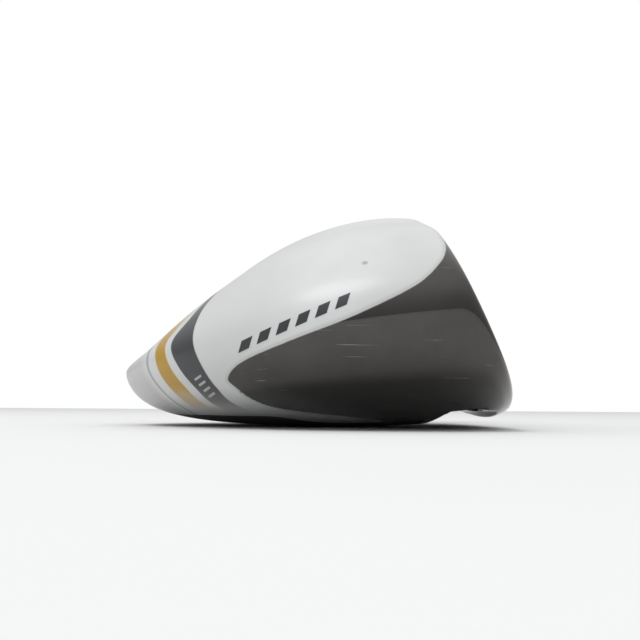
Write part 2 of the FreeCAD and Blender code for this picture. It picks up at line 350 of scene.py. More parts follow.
def shell(name, outer, inner, pole_at=None):
    """A closed wall between two grids of rows, open or gathered to a pole at one end."""
    points, faces, rims = [], [], []
    for grid in (outer, inner):
        rows = grid if pole_at is None else (grid[1:] if pole_at == 0 else grid[:-1])
        base = len(points)
        points.extend(rows.reshape(-1, 3))
        numbers = base + np.arange(rows.shape[0] * rows.shape[1]).reshape(rows.shape[:2])
        for first, second in zip(numbers[:-1].tolist(), numbers[1:].tolist()):
            faces.extend(strip_faces(first, second))
        if pole_at is not None:
            pole = len(points)
            points.append(grid[pole_at].mean(0))
            near = numbers[0 if pole_at == 0 else -1].tolist()
            faces.extend((near[i], near[(i + 1) % len(near)], pole) for i in range(len(near)))
        rims.append((numbers[0].tolist(), numbers[-1].tolist()))
    if pole_at != 0:
        faces.extend(strip_faces(rims[0][0], rims[1][0]))
    if pole_at != -1:
        faces.extend(strip_faces(rims[0][1], rims[1][1]))
    return add_mesh(name, np.array(points), faces)


def prism(name, profile, low, high, along):
    """A closed prism: the profile's points, swept from low to high along a direction."""
    profile = np.array(profile, float)
    along = np.array(along, float)
    count = len(profile)
    points = np.concatenate([profile + along * low, profile + along * high])
    faces = strip_faces(list(range(count)), list(range(count, 2 * count)))
    faces += [tuple(range(count)), tuple(range(count, 2 * count))]
    return add_mesh(name, points, faces)


def combine(piece, tool, operation):
    """Cuts, joins or intersects a piece with a tool, which is used up."""
    step = piece.modifiers.new("combine", "BOOLEAN")
    step.operation = operation
    step.solver = "EXACT"
    step.object = tool
    bpy.context.view_layer.update()
    done = bpy.data.meshes.new_from_object(piece.evaluated_get(bpy.context.evaluated_depsgraph_get()))
    piece.modifiers.remove(step)
    old = piece.data
    piece.data = done
    done.name = old.name
    bpy.data.meshes.remove(old)
    bpy.data.objects.remove(tool)
    finish_shading(done)


# ---- the skin's pieces ----------------------------------------------------------------------------
def joint_parameters(u, outline, from_top):
    """Where each column of the skin crosses a plan outline, on the crown or on the sole."""
    curve = smooth_closed(outline) - CENTRE
    bearing = np.arctan2(curve[:, 1], curve[:, 0])
    order = np.argsort(bearing)
    reach = np.hypot(curve[:, 0], curve[:, 1])[order]
    bearing = bearing[order]
    v = np.linspace(0.02, 4.4, 300) if from_top else np.linspace(DOWN_END - 0.02, 4.6, 300)
    grid_u, grid_v = np.meshgrid(u, v)
    plan = skin_points(grid_u.ravel(), grid_v.ravel()).reshape(len(v), len(u), 3)[..., :2] - CENTRE
    limit = np.interp(np.arctan2(plan[..., 1], plan[..., 0]), bearing, reach, period=2 * math.pi)
    ratio = np.hypot(plan[..., 0], plan[..., 1]) / limit
    found = np.argmax(ratio >= 1, axis=0)
    columns = np.arange(len(u))
    low, high = ratio[found - 1, columns], ratio[found, columns]
    return v[found - 1] + (1 - low) / (high - low) * (v[found] - v[found - 1])


def skin_grid(u, start, end, rows, supports):
    """Outer and inner points of a stretch of skin. supports adds a thin ring next to the joints."""
    share = np.linspace(0, 1, rows)
    extra = [SUPPORT if supports[0] else 0, 1 - SUPPORT if supports[1] else 1]
    share = np.unique(np.concatenate([share, extra]))
    v = start[None] + share[:, None] * (end - start)[None]
    flat_u, flat_v = np.broadcast_to(u, v.shape).ravel(), v.ravel()
    outer = skin_points(flat_u, flat_v)
    inner = outer - WALL * skin_normals(flat_u, flat_v)
    return outer.reshape(*v.shape, 3), inner.reshape(*v.shape, 3)


def pocket_profile(y, side):
    """Half of the channel's section at y, on one side: (x, z) from the slot's floor to below the sole."""
    throat, shoulder, mouth = POCKET_WIDTH / 2, POCKET_SHOULDER / 2, POCKET_MOUTH / 2
    slope = (POCKET_ROOF - POCKET_MOUTH_AT) / (mouth - shoulder)
    profile = [(throat, POCKET_FLOOR), (throat, POCKET_ROOF + 0.3), (throat + 0.09, POCKET_ROOF + 0.09),
               (throat + 0.3, POCKET_ROOF)]
    soft = 0.65
    for t in np.linspace(0, 1, 7):
        x = shoulder - soft * (1 - t) ** 2 + soft * t**2
        profile.append((x, POCKET_ROOF - slope * soft * t**2))

    def cut_and_sole(x):
        place = SKIN.hit((POCKET_X + side * x, y, -10), (0, 0, 1))[0]
        return POCKET_ROOF - (x - shoulder) * slope, place[2]

    lip = 0.35
    end = profile[-1][0] + 0.3
    while np.subtract(*cut_and_sole(end + 0.05)) > -lip and end < mouth + 2:
        end += 0.05
    for x in np.linspace(profile[-1][0], end, 14)[1:]:
        cut, sole = cut_and_sole(x)
        near = max(lip - abs(cut - sole), 0) / lip
        profile.append((x, max(cut, sole) + near**2 * lip / 4))
    profile.append((end + 0.25, profile[-1][1] - 0.06))
    profile.append((end + 0.25, -4.0))
    return [(POCKET_X + side * x, z) for x, z in profile]


def pocket_tool():
    """The channel's cutter: a slot in its roof, flared sides with soft lips, and square ends."""
    sections = []
    for y in np.linspace(-POCKET_HALF_LENGTH, POCKET_HALF_LENGTH, 53):
        outline = pocket_profile(y, 1) + pocket_profile(y, -1)[::-1]
        sections.append([(x, y, z) for x, z in outline])
    count = len(sections[0])
    numbers = np.arange(count * len(sections)).reshape(len(sections), count).tolist()
    faces = [tuple(numbers[0]), tuple(numbers[-1])]
    for first, second in zip(numbers[:-1], numbers[1:]):
        faces.extend(strip_faces(first, second))
    return add_mesh("pocket_tool", np.array(sections).reshape(-1, 3), faces)


def face_joint_tool(name):
    """The face plate's outline as a prism square to the face."""
    corners = np.array(FACE_JOINT, float)
    before, after = np.roll(corners, 1, 0), np.roll(corners, -1, 0)
    outline = []
    for corner, a, b in zip(corners, before, after):
        to_a, to_b = (a - corner) / np.linalg.norm(a - corner), (b - corner) / np.linalg.norm(b - corner)
        half = math.acos(np.clip(to_a @ to_b, -1, 1)) / 2
        reach = FACE_JOINT_CORNER / math.tan(half)
        centre = corner + (to_a + to_b) / np.linalg.norm(to_a + to_b) * FACE_JOINT_CORNER / math.sin(half)
        first, last = corner + to_a * reach - centre, corner + to_b * reach - centre
        turn = math.atan2(first[0] * last[1] - first[1] * last[0], first @ last)
        for t in np.linspace(0, 1, 9):
            c, s = math.cos(turn * t), math.sin(turn * t)
            outline.append(centre + [c * first[0] - s * first[1], s * first[0] + c * first[1]])
    profile = []
    for y, z in outline:
        rise = (z - FACE_CENTRE[2]) / FACE_UP[2]
        profile.append(FACE_CENTRE + np.array([0, y, 0]) + FACE_UP * rise)
    return prism(name, profile, -FACE_JOINT_DEPTH, 2.0, FACE_NORMAL)


def trough_piece():
    """The walls inside the hollow that the channel is cut into, kept just behind the skin."""
    narrow = POCKET_WIDTH / 2 + POCKET_WALL
    wide = POCKET_SHOULDER / 2 + 1.0 + POCKET_WALL
    half = [(narrow, POCKET_FLOOR + POCKET_WALL), (narrow, POCKET_ROOF + POCKET_WALL),
            (wide, POCKET_ROOF + POCKET_WALL), (wide, -2.0)]
    section = [(POCKET_X + x, 0, z) for x, z in half] + [(POCKET_X - x, 0, z) for x, z in half[::-1]]
    end = POCKET_HALF_LENGTH + POCKET_WALL
    piece = prism("trough_tool", section, -end, end, (0, 1, 0))
    u = np.arange(COLUMNS) / COLUMNS * NET.shape[1]
    v = np.linspace(0, DOWN_END, 240)
    grid_u, grid_v = (g.ravel() for g in np.meshgrid(u, v))
    core = (skin_points(grid_u, grid_v) - WALL / 2 * skin_normals(grid_u, grid_v)).reshape(len(v), len(u), 3)
    points = np.concatenate([core[1:-1].reshape(-1, 3), core[[0, -1]].mean(1)])
    numbers = np.arange(len(points) - 2).reshape(len(v) - 2, len(u)).tolist()
    faces = []
    for first, second in zip(numbers[:-1], numbers[1:]):
        faces.extend(strip_faces(first, second))
    for row, pole in ((numbers[0], len(points) - 2), (numbers[-1], len(points) - 1)):
        faces.extend((row[i], row[(i + 1) % len(row)], pole) for i in range(len(row)))
    combine(piece, add_mesh("core_tool", points, faces), "INTERSECT")
    return piece


def rod_tool(name, low, high, radius, sides=96):
    """A rod along the shaft's axis."""
    across, over = np.array([1.0, 0, 0]), np.cross(SHAFT_AXIS, [1.0, 0, 0])
    circle = []
    for i in range(sides):
        a = 2 * math.pi * i / sides
        circle.append(radius * (math.cos(a) * across + math.sin(a) * over) + [0, SHAFT_Y, 0])
    return prism(name, circle, low, high, SHAFT_AXIS)


def build_skin():
    """The crown, the belt of the body and the sole plate, which meet along their joints."""
    u = np.arange(COLUMNS) / COLUMNS * NET.shape[1]
    crown_v = joint_parameters(u, CROWN_JOINT, from_top=True)
    sole_v = joint_parameters(u, SOLE_JOINT, from_top=False)
    ends = np.zeros(COLUMNS), np.full(COLUMNS, DOWN_END)
    crown = shell("crown_skin", *skin_grid(u, ends[0], crown_v, CROWN_ROWS, (False, True)), pole_at=0)
    belt = shell("body_shell", *skin_grid(u, crown_v, sole_v, BELT_ROWS, (True, True)))
    sole = shell("sole_skin", *skin_grid(u, sole_v, ends[1], SOLE_ROWS, (True, False)), pole_at=-1)
    return crown, belt, sole


# ---- the hosel ------------------------------------------------------------------------------------
def unit(vectors):
    return vectors / np.maximum(np.linalg.norm(vectors, axis=-1, keepdims=True), 1e-12)


def even_out(values, reach=4):
    """A running mean round a closed row of values."""
    return sum(np.roll(values, k, 0) for k in range(-reach, reach + 1)) / (2 * reach + 1)


def neck_path(spoke, over):
    """Points down one side of the neck and on round its foot.

    At the heel the foot's arcs run side by side under it, so that they never meet at one point.
    """
    wall = np.linspace(MOUTH_AT - 0.4, HOSEL_FOOT_AT, 90)[:, None]
    share = (wall - HOSEL_FOOT_AT) / (MOUTH_AT - HOSEL_FOOT_AT)
    radius = HOSEL_FOOT_RADIUS + (HOSEL_TOP_RADIUS - HOSEL_FOOT_RADIUS) * share
    base = np.array([0, SHAFT_Y, 0])
    down = base + SHAFT_AXIS * wall + spoke * radius
    turn = math.degrees(math.acos(np.clip(spoke @ over, -1, 1)))
    t = np.clip((turn - 72) / 30, 0, 1)
    aim = unit(over * (1 - t * t * (3 - 2 * t)) + spoke * t * t * (3 - 2 * t))
    lean = HOSEL_FOOT_RADIUS * (spoke @ aim)
    aside = spoke * HOSEL_FOOT_RADIUS - aim * lean
    a = np.linspace(0, 0.9 * math.pi, 100)[1:, None]
    foot = base + SHAFT_AXIS * HOSEL_FOOT_AT
    return np.concatenate([down, foot + aside + lean * (np.cos(a) * aim - np.sin(a) * SHAFT_AXIS)])


def neck_crossing(path):
    """How far down its path one side of the neck meets the skin, and the skin's direction away from it."""
    foot = SHAFT_AXIS * HOSEL_FOOT_AT + [0, SHAFT_Y, 0]
    length = np.concatenate([[0], np.cumsum(np.linalg.norm(np.diff(path, axis=0), axis=1))])
    last = 1.0
    for i, point in enumerate(path):
        place, normal = SKIN.nearest(point)
        height = (point - place) @ normal
        if height < 0:
            break
        last = height
    share = last / (last - height) if height < 0 else 1.0
    up = (point - [0, SHAFT_Y, 0]) @ SHAFT_AXIS
    middle = [0, SHAFT_Y, 0] + SHAFT_AXIS * up if up > HOSEL_FOOT_AT else foot
    side = unit(point - middle)
    reach = length[i - 1] + share * (length[i] - length[i - 1])
    return length, reach, unit(side - (side @ normal) * normal)


def hosel_piece(blend=6.0, sides=192):
    """The neck with its bore, and a fillet that runs out on to the skin all round."""
    over = np.cross(SHAFT_AXIS, [1.0, 0, 0])
    angles = 2 * math.pi * np.arange(sides) / sides
    spokes = np.cos(angles)[:, None] * np.array([1.0, 0, 0]) + np.sin(angles)[:, None] * over
    paths = [neck_path(spoke, over) for spoke in spokes]
    found = [neck_crossing(path) for path in paths]
    reach = even_out(np.array([r for _, r, _ in found]), 2)
    away = unit(even_out(np.array([a for _, _, a in found])))

    def ring(at, radius):
        return np.array([0, SHAFT_Y, 0]) + SHAFT_AXIS * at + spokes * radius

    def along_path(distance):
        return np.array([
            [np.interp(d, length, path[:, k]) for k in range(3)]
            for d, path, (length, _, _) in zip(distance, paths, found)
        ])

    crossing = along_path(reach)
    start = reach - blend
    landed = [SKIN.nearest(point) for point in crossing + away * blend]
    landing = even_out(np.array([place for place, _ in landed]), 1)
    normal = unit(even_out(np.array([n for _, n in landed]), 2))
    leaving = unit(away - (away * normal).sum(1, keepdims=True) * normal)
    first = along_path(start)
    entering = unit(along_path(start + 0.2) - first)
    handle = 0.38 * np.linalg.norm(landing - first, axis=1, keepdims=True)

    floor = MOUTH_AT - BORE_DEPTH
    rings = [
        ring(floor - 4.3, 2.62), ring(floor, 2.62), ring(floor, BORE_RADIUS),
        ring(MOUTH_AT - 0.25, BORE_RADIUS), ring(MOUTH_AT, BORE_RADIUS + 0.25),
        ring(MOUTH_AT, HOSEL_TOP_RADIUS - 0.4),
    ]
    for share in np.linspace(0, 1, 70):
        rings.append(along_path(start * share))
    for t in np.linspace(0, 1, 22)[1:]:
        a, b, c, d = (1 - t) ** 3, 3 * t * (1 - t) ** 2, 3 * t**2 * (1 - t), t**3
        near_neck, near_skin = first + entering * handle, landing - leaving * handle
        rings.append(a * first + b * near_neck + c * near_skin + d * landing)
    rings.append(landing + leaving * 0.5 - normal * 0.03)
    rings.append(landing + leaving * 0.9 - normal * 0.4)
    rings.append(ring(floor - 5.3, 4.0))

    points = np.concatenate(rings + [[SHAFT_AXIS * (floor - 4.3) + [0, SHAFT_Y, 0]],
                                     [SHAFT_AXIS * (floor - 5.3) + [0, SHAFT_Y, 0]]])
    numbers = np.arange(len(rings) * sides).reshape(len(rings), sides).tolist()
    faces = []
    for upper, lower in zip(numbers[:-1], numbers[1:]):
        faces.extend(strip_faces(upper, lower))
    for row, pole in ((numbers[0], len(points) - 2), (numbers[-1], len(points) - 1)):
        faces.extend((row[i], row[(i + 1) % sides], pole) for i in range(sides))
    return add_mesh("hosel_neck", points, faces)


# ---- the face plate -------------------------------------------------------------------------------
def on_ball(y, rise, depth):
    """Points of the face at a distance across and up its tangent plane, that deep behind its surface."""
    y, rise, depth = np.broadcast_arrays(y, rise, depth)
    level = np.sqrt(FACE_RADIUS**2 - y**2 - rise**2) - depth
    across = np.stack([np.zeros_like(y), y, np.zeros_like(y)], -1)
    return BALL_CENTRE + across + rise[..., None] * FACE_UP + level[..., None] * FACE_NORMAL


def face_piece():
    """The face plate with its score lines, cut to its outline."""
    run_out = 0.45
    ramp = np.array([-0.05, 0.0, 0.1, 0.25, run_out])
    ys = np.unique(np.concatenate([np.arange(-35, 27, 1.0), GROOVE_SPAN[0] + ramp, GROOVE_SPAN[1] - ramp]))
    inside = np.minimum(ys - GROOVE_SPAN[0], GROOVE_SPAN[1] - ys)
    end_share = np.sqrt(1 - (1 - np.clip(inside / run_out, 0, 1)) ** 2)
    first = (GROOVE_FIRST - FACE_CENTRE[2]) / FACE_UP[2]
    rises, depths = [-14.0, -12.5], [0.0, 0.0]
    for i in range(GROOVES):
        middle = first + i * GROOVE_PITCH
        for step, depth in ((-0.5, 0), (-0.4, 0), (-0.37, 0.05), (-0.3, 0.85), (-0.22, 1), (0, 1),
                            (0.22, 1), (0.3, 0.85), (0.37, 0.05), (0.4, 0), (0.5, 0), (1.35, 0)):
            rises.append(middle + step * GROOVE_WIDTH / 0.8)
            depths.append(depth * GROOVE_DEPTH)
    rises += [rises[-1] + 1.5, 14.0]
    depths += [0.0, 0.0]
    y, rise = np.meshgrid(ys, rises)
    front = on_ball(y, rise, np.array(depths)[:, None] * end_share)
    back = on_ball(y, rise, FACE_WALL)
    rows, columns = y.shape
    points = np.concatenate([front.reshape(-1, 3), back.reshape(-1, 3)])
    numbers = np.arange(rows * columns).reshape(rows, columns)
    piece = add_mesh("face_skin", points, slab_faces(numbers, numbers + rows * columns))
    combine(piece, face_joint_tool("face_tool"), "INTERSECT")
    return piece


# ---- thin printed marks ---------------------------------------------------------------------------
def print_piece(name, outlines, thickness=0.05):
    """Thin closed patches that lie on the toe's side. Each outline is four (x, z) corners."""
    points, faces = [], []
    across, up = 14, 8
    for corners in outlines:
        a, b, c, d = np.array(corners, float)
        outer, inner = [], []
        for t in np.linspace(0, 1, up):
            for s in np.linspace(0, 1, across):
                x, z = (a * (1 - s) + b * s) * (1 - t) + (d * (1 - s) + c * s) * t
                place, normal = SKIN.hit((x, -90, z), (0, 1, 0))
                outer.append(place + normal * thickness)
                inner.append(place - normal * thickness)
        base = len(points)
        points.extend(outer + inner)
        front = base + np.arange(up * across).reshape(up, across)
        faces.extend(slab_faces(front, front + up * across))
    return add_mesh(name, np.array(points), faces)


def bar_outlines(start, end, height, lean, count, fill):
    """Corners of slanted bars set evenly along a line."""
    start, end = np.array(start, float), np.array(end, float)
    along = end - start
    up = np.array([lean, height])
    outlines = []
    for i in range(count):
        a = start + along * (i + (1 - fill) / 2) / count
        b = start + along * (i + (1 + fill) / 2) / count
        outlines.append((a, b, b + up, a + up))
    return outlines


# ---- where each finish lies -----------------------------------------------------------------------
# Outline of the polished side panel as (x, degrees round the toe's flank)
PANEL = [
    (40, 75), (4, 75), (1, 50), (-2, 34), (-5, 25), (-9, 20), (-16, 15), (-23, 11.5), (-30.5, 7.5),
    (-33, 3.5), (-32, 0), (-27, -8.5), (-17, -16), (-13.5, -21), (-10, -30), (-8.5, -60), (-8.5, -100),
    (40, -100),
]
PINSTRIPE = [(-31.5, -1.5), (-28, -7.5), (-24.5, -12), (-21, -15.5)]
# Half of the black paint's plan outline, from its tip at the tail; the other half mirrors it
SOLE_TIP = (-48.5, 0)
SOLE_SIDE = [
    (-47.5, 4), (-39.5, 15.5), (-31, 21.5), (-26, 22.5), (-20, 18), (-15, 17), (-6, 19), (-3, 19), (-3, 10),
]
SOLE_PAINT = [SOLE_TIP] + [(x, -y) for x, y in SOLE_SIDE] + SOLE_SIDE[::-1]
# The bands at the tail: x of their edges at rising heights
BAND_HEIGHTS = [2, 3.5, 6, 9, 12.5, 17, 21, 26]
CHARCOAL_FRONT = [-29, -32.5, -35, -37, -38.5, -38, -36, -33.5]
CHARCOAL_BACK = [-33, -36, -38.5, -41, -42.5, -39.5, -37, -35]
GOLD_BACK = [-38.5, -40.5, -43, -45, -45.5, -42.5, -39.5, -39.5]
LAST_LINE = [-40.5, -42.5, -45, -47, -47, -44, -42, -42]
GOLD_START = 0.25  # of the way from the charcoal's back to the last line


def flank_chart(points):
    """(x, degrees round the flank), the same on both sides of the head."""
    turn = np.degrees(np.arctan2(points[:, 2] - 6, np.abs(points[:, 1]) - 12))
    return np.stack([points[:, 0], np.where(turn > 120, turn - 360, turn)], 1)


def band_edges(points):
    """How far behind each band's edge the points are, from the front edge to the back one."""
    heights = np.array(BAND_HEIGHTS, float)
    at = np.clip(points[:, 2], heights[0], heights[-1])
    lines = (CHARCOAL_FRONT, CHARCOAL_BACK, GOLD_BACK, LAST_LINE)
    front, back, gold_back, last = (smooth_through(heights, np.array(line, float), at) for line in lines)
    gold_front = back + GOLD_START * (last - back)
    return [edge - points[:, 0] for edge in (front, back, gold_front, gold_back, last)]


def line_distance(points, line):
    """Distance from 2-D points to an open line."""
    best = np.full(len(points), 1e9)
    for a, b in zip(np.array(line, float)[:-1], np.array(line, float)[1:]):
        t = np.clip(((points - a) @ (b - a)) / ((b - a) @ (b - a)), 0, 1)
        best = np.minimum(best, np.linalg.norm(points - a - t[:, None] * (b - a), axis=1))
    return best


def mark_finishes(piece):
    """Stores where each finish lies as numbers on the piece's points, for its material."""
    points = head_points(piece.data)
    chart = flank_chart(points)
    scale = np.array([1.0, 0.55])  # a degree round the flank is about 0.55 mm
    x, y, z = points.T
    panel = inside_distance(chart * scale, smooth_closed(PANEL, 6) * scale)
    rim = past_face(points) + 0.1
    front = np.minimum(x + 3.0, 20 - z)
    neck = line_neck(points)
    near = np.maximum(2.0 - np.abs(panel - rim), 0) / 2.0
    metal = np.maximum(np.maximum(panel, rim) + near**2 / 2, np.maximum(front, neck))
    sole = np.minimum(inside_distance(points[:, :2], smooth_closed(SOLE_PAINT, 6)), 8 - z)
    values = {
        "metal": metal,
        "sole": sole,
        **{f"edge_{i}": behind for i, behind in enumerate(band_edges(points))},
        "pin": line_distance(chart * scale, np.array(PINSTRIPE) * scale),
        "rise": z,
    }
    for name, value in values.items():
        layer = piece.data.attributes.new(name, "FLOAT", "POINT")
        layer.data.foreach_set("value", np.asarray(value, np.float32))


def line_neck(points):
    """Positive near the neck, where the heel is left bare."""
    offset = points - [0, SHAFT_Y, 0]
    along = offset @ SHAFT_AXIS
    return HOSEL_FOOT_RADIUS + 6.0 - np.linalg.norm(offset - along[:, None] * SHAFT_AXIS, axis=1)


# ---- materials ------------------------------------------------------------------------------------
class Nodes:
    """A short way to write a material's or the world's nodes."""

    def __init__(self, owner):
        owner.use_nodes = True
        self.tree = owner.node_tree
        self.tree.nodes.clear()

    def add(self, kind, inputs=None, output=0, **settings):
        node = self.tree.nodes.new(kind)
        for key, value in settings.items():
            setattr(node, key, value)
        for key, value in (inputs or {}).items():
            self.feed(node.inputs[key], value)
        return node.outputs[output]

    def feed(self, socket, value):
        if isinstance(value, bpy.types.NodeSocket):
            self.tree.links.new(value, socket)
        elif isinstance(value, tuple) and len(value) == 3 and socket.type == "RGBA":
            socket.default_value = (*value, 1)
        else:
            socket.default_value = value

    def math(self, operation, *values):
        return self.add("ShaderNodeMath", dict(enumerate(values)), operation=operation)

    def step(self, value, low, high, start=0.0, end=1.0):
        """Goes smoothly from start to end as the value goes from low to high."""
        inputs = {"Value": value, "From Min": low, "From Max": high, "To Min": start, "To Max": end}
        return self.add("ShaderNodeMapRange", inputs, interpolation_type="SMOOTHSTEP")

    def mix(self, share, first, second):
        inputs = {0: share, 6: first, 7: second}
        return self.add("ShaderNodeMix", inputs, output=2, data_type="RGBA")

    def blend(self, share, first, second):
        return self.add("ShaderNodeMix", {0: share, 2: first, 3: second}, data_type="FLOAT")

    def number(self, name):
        return self.add("ShaderNodeAttribute", output=2, attribute_name=name)

    def noise(self, scale, detail=3.0, rough=0.5, stretch=None, where=None):
        """Noise over the object, from 0 to 1. scale is per metre."""
        where = where or self.add("ShaderNodeTexCoord", output=3)
        if stretch:
            where = self.add("ShaderNodeMapping", {0: where, 2: stretch[0], 3: stretch[1]})
        inputs = {"Vector": where, "Scale": scale, "Detail": detail, "Roughness": rough}
        return self.add("ShaderNodeTexNoise", inputs)

    def bump(self, height, strength, distance):
        return self.add("ShaderNodeBump", {"Height": height, "Strength": strength, "Distance": distance})

    def surface(self, **inputs):
        named = {key.replace("_", " "): value for key, value in inputs.items()}
        shader = self.add("ShaderNodeBsdfPrincipled", named)
        self.tree.links.new(shader, self.tree.nodes.new("ShaderNodeOutputMaterial").inputs[0])
        return shader


WHITE = (0.66, 0.675, 0.68)
WHITE_SHADE = (0.56, 0.565, 0.56)
CHARCOAL = (0.03, 0.031, 0.036)
GOLD = (0.42, 0.235, 0.002)
BEIGE = (0.5, 0.42, 0.28)
GREY_BAND = (0.28, 0.28, 0.27)
METAL = (0.09, 0.084, 0.08)
SOLE_BLACK = (0.012, 0.012, 0.013)


def finish_material(name):
    """White paint, the bands at the tail, the polished panel and the black sole, each where it lies, with
    painted shade greying the tail.
    """
    material = bpy.data.materials.new(name)
    n = Nodes(material)
    metal, sole, pin, rise = (n.number(key) for key in ("metal", "sole", "pin", "rise"))
    edges = [n.number(f"edge_{i}") for i in range(5)]

    def between(ahead, behind, soft=0.1):
        past_front = n.step(edges[ahead], -soft, soft)
        return n.math("MULTIPLY", past_front, n.step(edges[behind], -soft, soft, 1.0, 0.0))

    ragged = n.math("MULTIPLY_ADD", n.noise(900, 2), 0.1, -0.05)
    on_metal = n.step(n.math("ADD", metal, ragged), -0.08, 0.08)
    on_sole = n.step(n.math("ADD", sole, ragged), -0.12, 0.12)

    cloud = n.noise(38, 3)
    dirt = n.step(n.noise(160, 5, 0.6), 0.5, 0.82)
    white = n.mix(n.step(cloud, 0.3, 0.75), WHITE, WHITE_SHADE)
    white = n.mix(n.math("MULTIPLY", dirt, 0.12), white, (0.42, 0.4, 0.36))

    fade_low = n.step(rise, 2.4, 6.2)
    fade_high = n.step(rise, 15.5, 24, 1.0, 0.35)
    fade = n.math("MULTIPLY", fade_low, fade_high)
    dark = n.mix(fade, GREY_BAND, CHARCOAL)
    dark = n.mix(n.step(rise, 2.2, 4.2), white, dark)
    painted = n.mix(between(0, 1), white, dark)
    gold = n.mix(n.math("MULTIPLY", n.step(rise, 3.6, 6.5), n.step(rise, 13, 18, 1.0, 0.0)), BEIGE, GOLD)
    gold = n.mix(n.step(rise, 2.4, 4.0), white, gold)
    painted = n.mix(between(2, 3, 0.14), painted, gold)
    back_line = n.step(n.math("ABSOLUTE", edges[4]), 0.1, 0.32, 0.75, 0.0)
    painted = n.mix(back_line, painted, (0.2, 0.2, 0.235))
    # Painted shade: the white tail behind the last line is greyed, more strongly towards the bottom.
    tail = n.math("MULTIPLY", n.step(edges[4], 0.0, 2.0), n.step(rise, 15, 3, 0.3, 0.65))
    painted = n.mix(tail, painted, (0.36, 0.36, 0.35))
    painted = n.mix(n.step(pin, 0.08, 0.2, 1.0, 0.0), painted, (0.1, 0.09, 0.08))
    seam = n.math("MULTIPLY", n.step(metal, -0.7, -0.1), n.step(rise, 26, 30, 1.0, 0.0))
    painted = n.mix(n.math("MULTIPLY", seam, 0.35), painted, (0.3, 0.3, 0.3))
    position = n.add("ShaderNodeTexCoord", output=3)
    chip_at = tuple(to_scene((-13.8, -42.9, 23.1)).tolist())
    chip = n.add("ShaderNodeVectorMath", {0: position, 1: chip_at}, output=1, operation="DISTANCE")
    painted = n.mix(n.step(chip, 0.0002, 0.0006, 0.6, 0.0), painted, (0.2, 0.19, 0.18))

    smudge = n.noise(120, 4, 0.65)
    scratch_noise = n.noise(60, 2, 0.5, ((0, 0.5, 0.9), (1, 9, 0.35)))
    fine = n.noise(420, 1, 0.4, ((0.3, 0.9, 0.4), (0.25, 1, 14)))
    scratches = n.math("MULTIPLY", n.step(fine, 0.69, 0.73), n.step(scratch_noise, 0.5, 0.6))
    worn = n.mix(n.step(smudge, 0.35, 0.75), METAL, (0.075, 0.07, 0.066))
    worn = n.mix(n.math("MULTIPLY", scratches, 0.6), worn, (0.3, 0.29, 0.28))
    colour = n.mix(on_metal, painted, worn)
    sole_wear = n.step(n.noise(260, 6, 0.7, ((0, 0, 0), (0.35, 1.6, 1))), 0.58, 0.72)
    sole_colour = n.mix(n.math("MULTIPLY", sole_wear, 0.35), SOLE_BLACK, (0.11, 0.105, 0.1))
    colour = n.mix(on_sole, colour, sole_colour)

    bare = n.math("MULTIPLY", on_metal, n.math("SUBTRACT", 1.0, on_sole))
    polish = n.math("MULTIPLY_ADD", n.step(smudge, 0.45, 0.85), 0.07, 0.035)
    polish = n.math("MAXIMUM", polish, n.math("MULTIPLY", scratches, 0.4))
    satin = n.math("MULTIPLY_ADD", dirt, 0.12, 0.36)
    rough = n.blend(on_metal, satin, polish)
    rough = n.blend(on_sole, rough, n.math("MULTIPLY_ADD", sole_wear, 0.15, 0.38))
    grain = n.noise(2600, 2)
    height = n.math("MULTIPLY_ADD", scratches, -0.5, n.math("MULTIPLY", grain, n.blend(bare, 0.35, 0.04)))
    height = n.math("ADD", height, n.blend(on_metal, 0.9, 0.0))
    normal = n.bump(height, 0.35, 0.00003)
    n.surface(Base_Color=colour, Metallic=bare, Roughness=rough, Normal=normal, Coat_Weight=0.12,
              Coat_Roughness=0.12)
    return material


def plain_metal(name, base, roughness, spread, grain_scale, strength, stretch=None):
    """Bare metal with a grain, and its roughness varied by as much as spread."""
    material = bpy.data.materials.new(name)
    n = Nodes(material)
    cloud = n.noise(90, 4, 0.6)
    grain = n.noise(grain_scale, 3, 0.6, stretch)
    shade = tuple(c * 0.72 for c in base)
    rough = n.math("MULTIPLY_ADD", cloud, spread, roughness)
    n.surface(Base_Color=n.mix(cloud, base, shade), Metallic=1.0, Roughness=rough,
              Normal=n.bump(grain, strength, 0.00004))
    return material


def soft_plastic(name, base, second, roughness, scale, through=0.0):
    material = bpy.data.materials.new(name)
    n = Nodes(material)
    cloud = n.noise(scale, 3, 0.6)
    n.surface(Base_Color=n.mix(cloud, base, second), Roughness=n.math("MULTIPLY_ADD", cloud, 0.2, roughness),
              Subsurface_Weight=through, Subsurface_Scale=0.002, Normal=n.bump(cloud, 0.3, 0.0001))
    return material


def weld_material(name):
    """A bead's ripples and its heat tint."""
    material = bpy.data.materials.new(name)
    n = Nodes(material)
    where = n.add("ShaderNodeTexCoord", output=3)
    inputs = {"Vector": where, "Scale": 260.0, "Distortion": 4.0, "Detail": 2.0}
    ripple = n.add("ShaderNodeTexWave", inputs, output=1)
    tint = n.noise(140, 3)
    colour = n.mix(n.step(tint, 0.35, 0.65), (0.42, 0.36, 0.28), (0.22, 0.24, 0.34))
    n.surface(Base_Color=colour, Metallic=1.0, Roughness=n.math("MULTIPLY_ADD", ripple, 0.15, 0.3),
              Normal=n.bump(ripple, 0.5, 0.0002))
    return material


def dress(piece, material, node):
    piece.data.materials.clear()
    piece.data.materials.append(material)
    if node:
        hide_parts(node)
    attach(piece, "root")


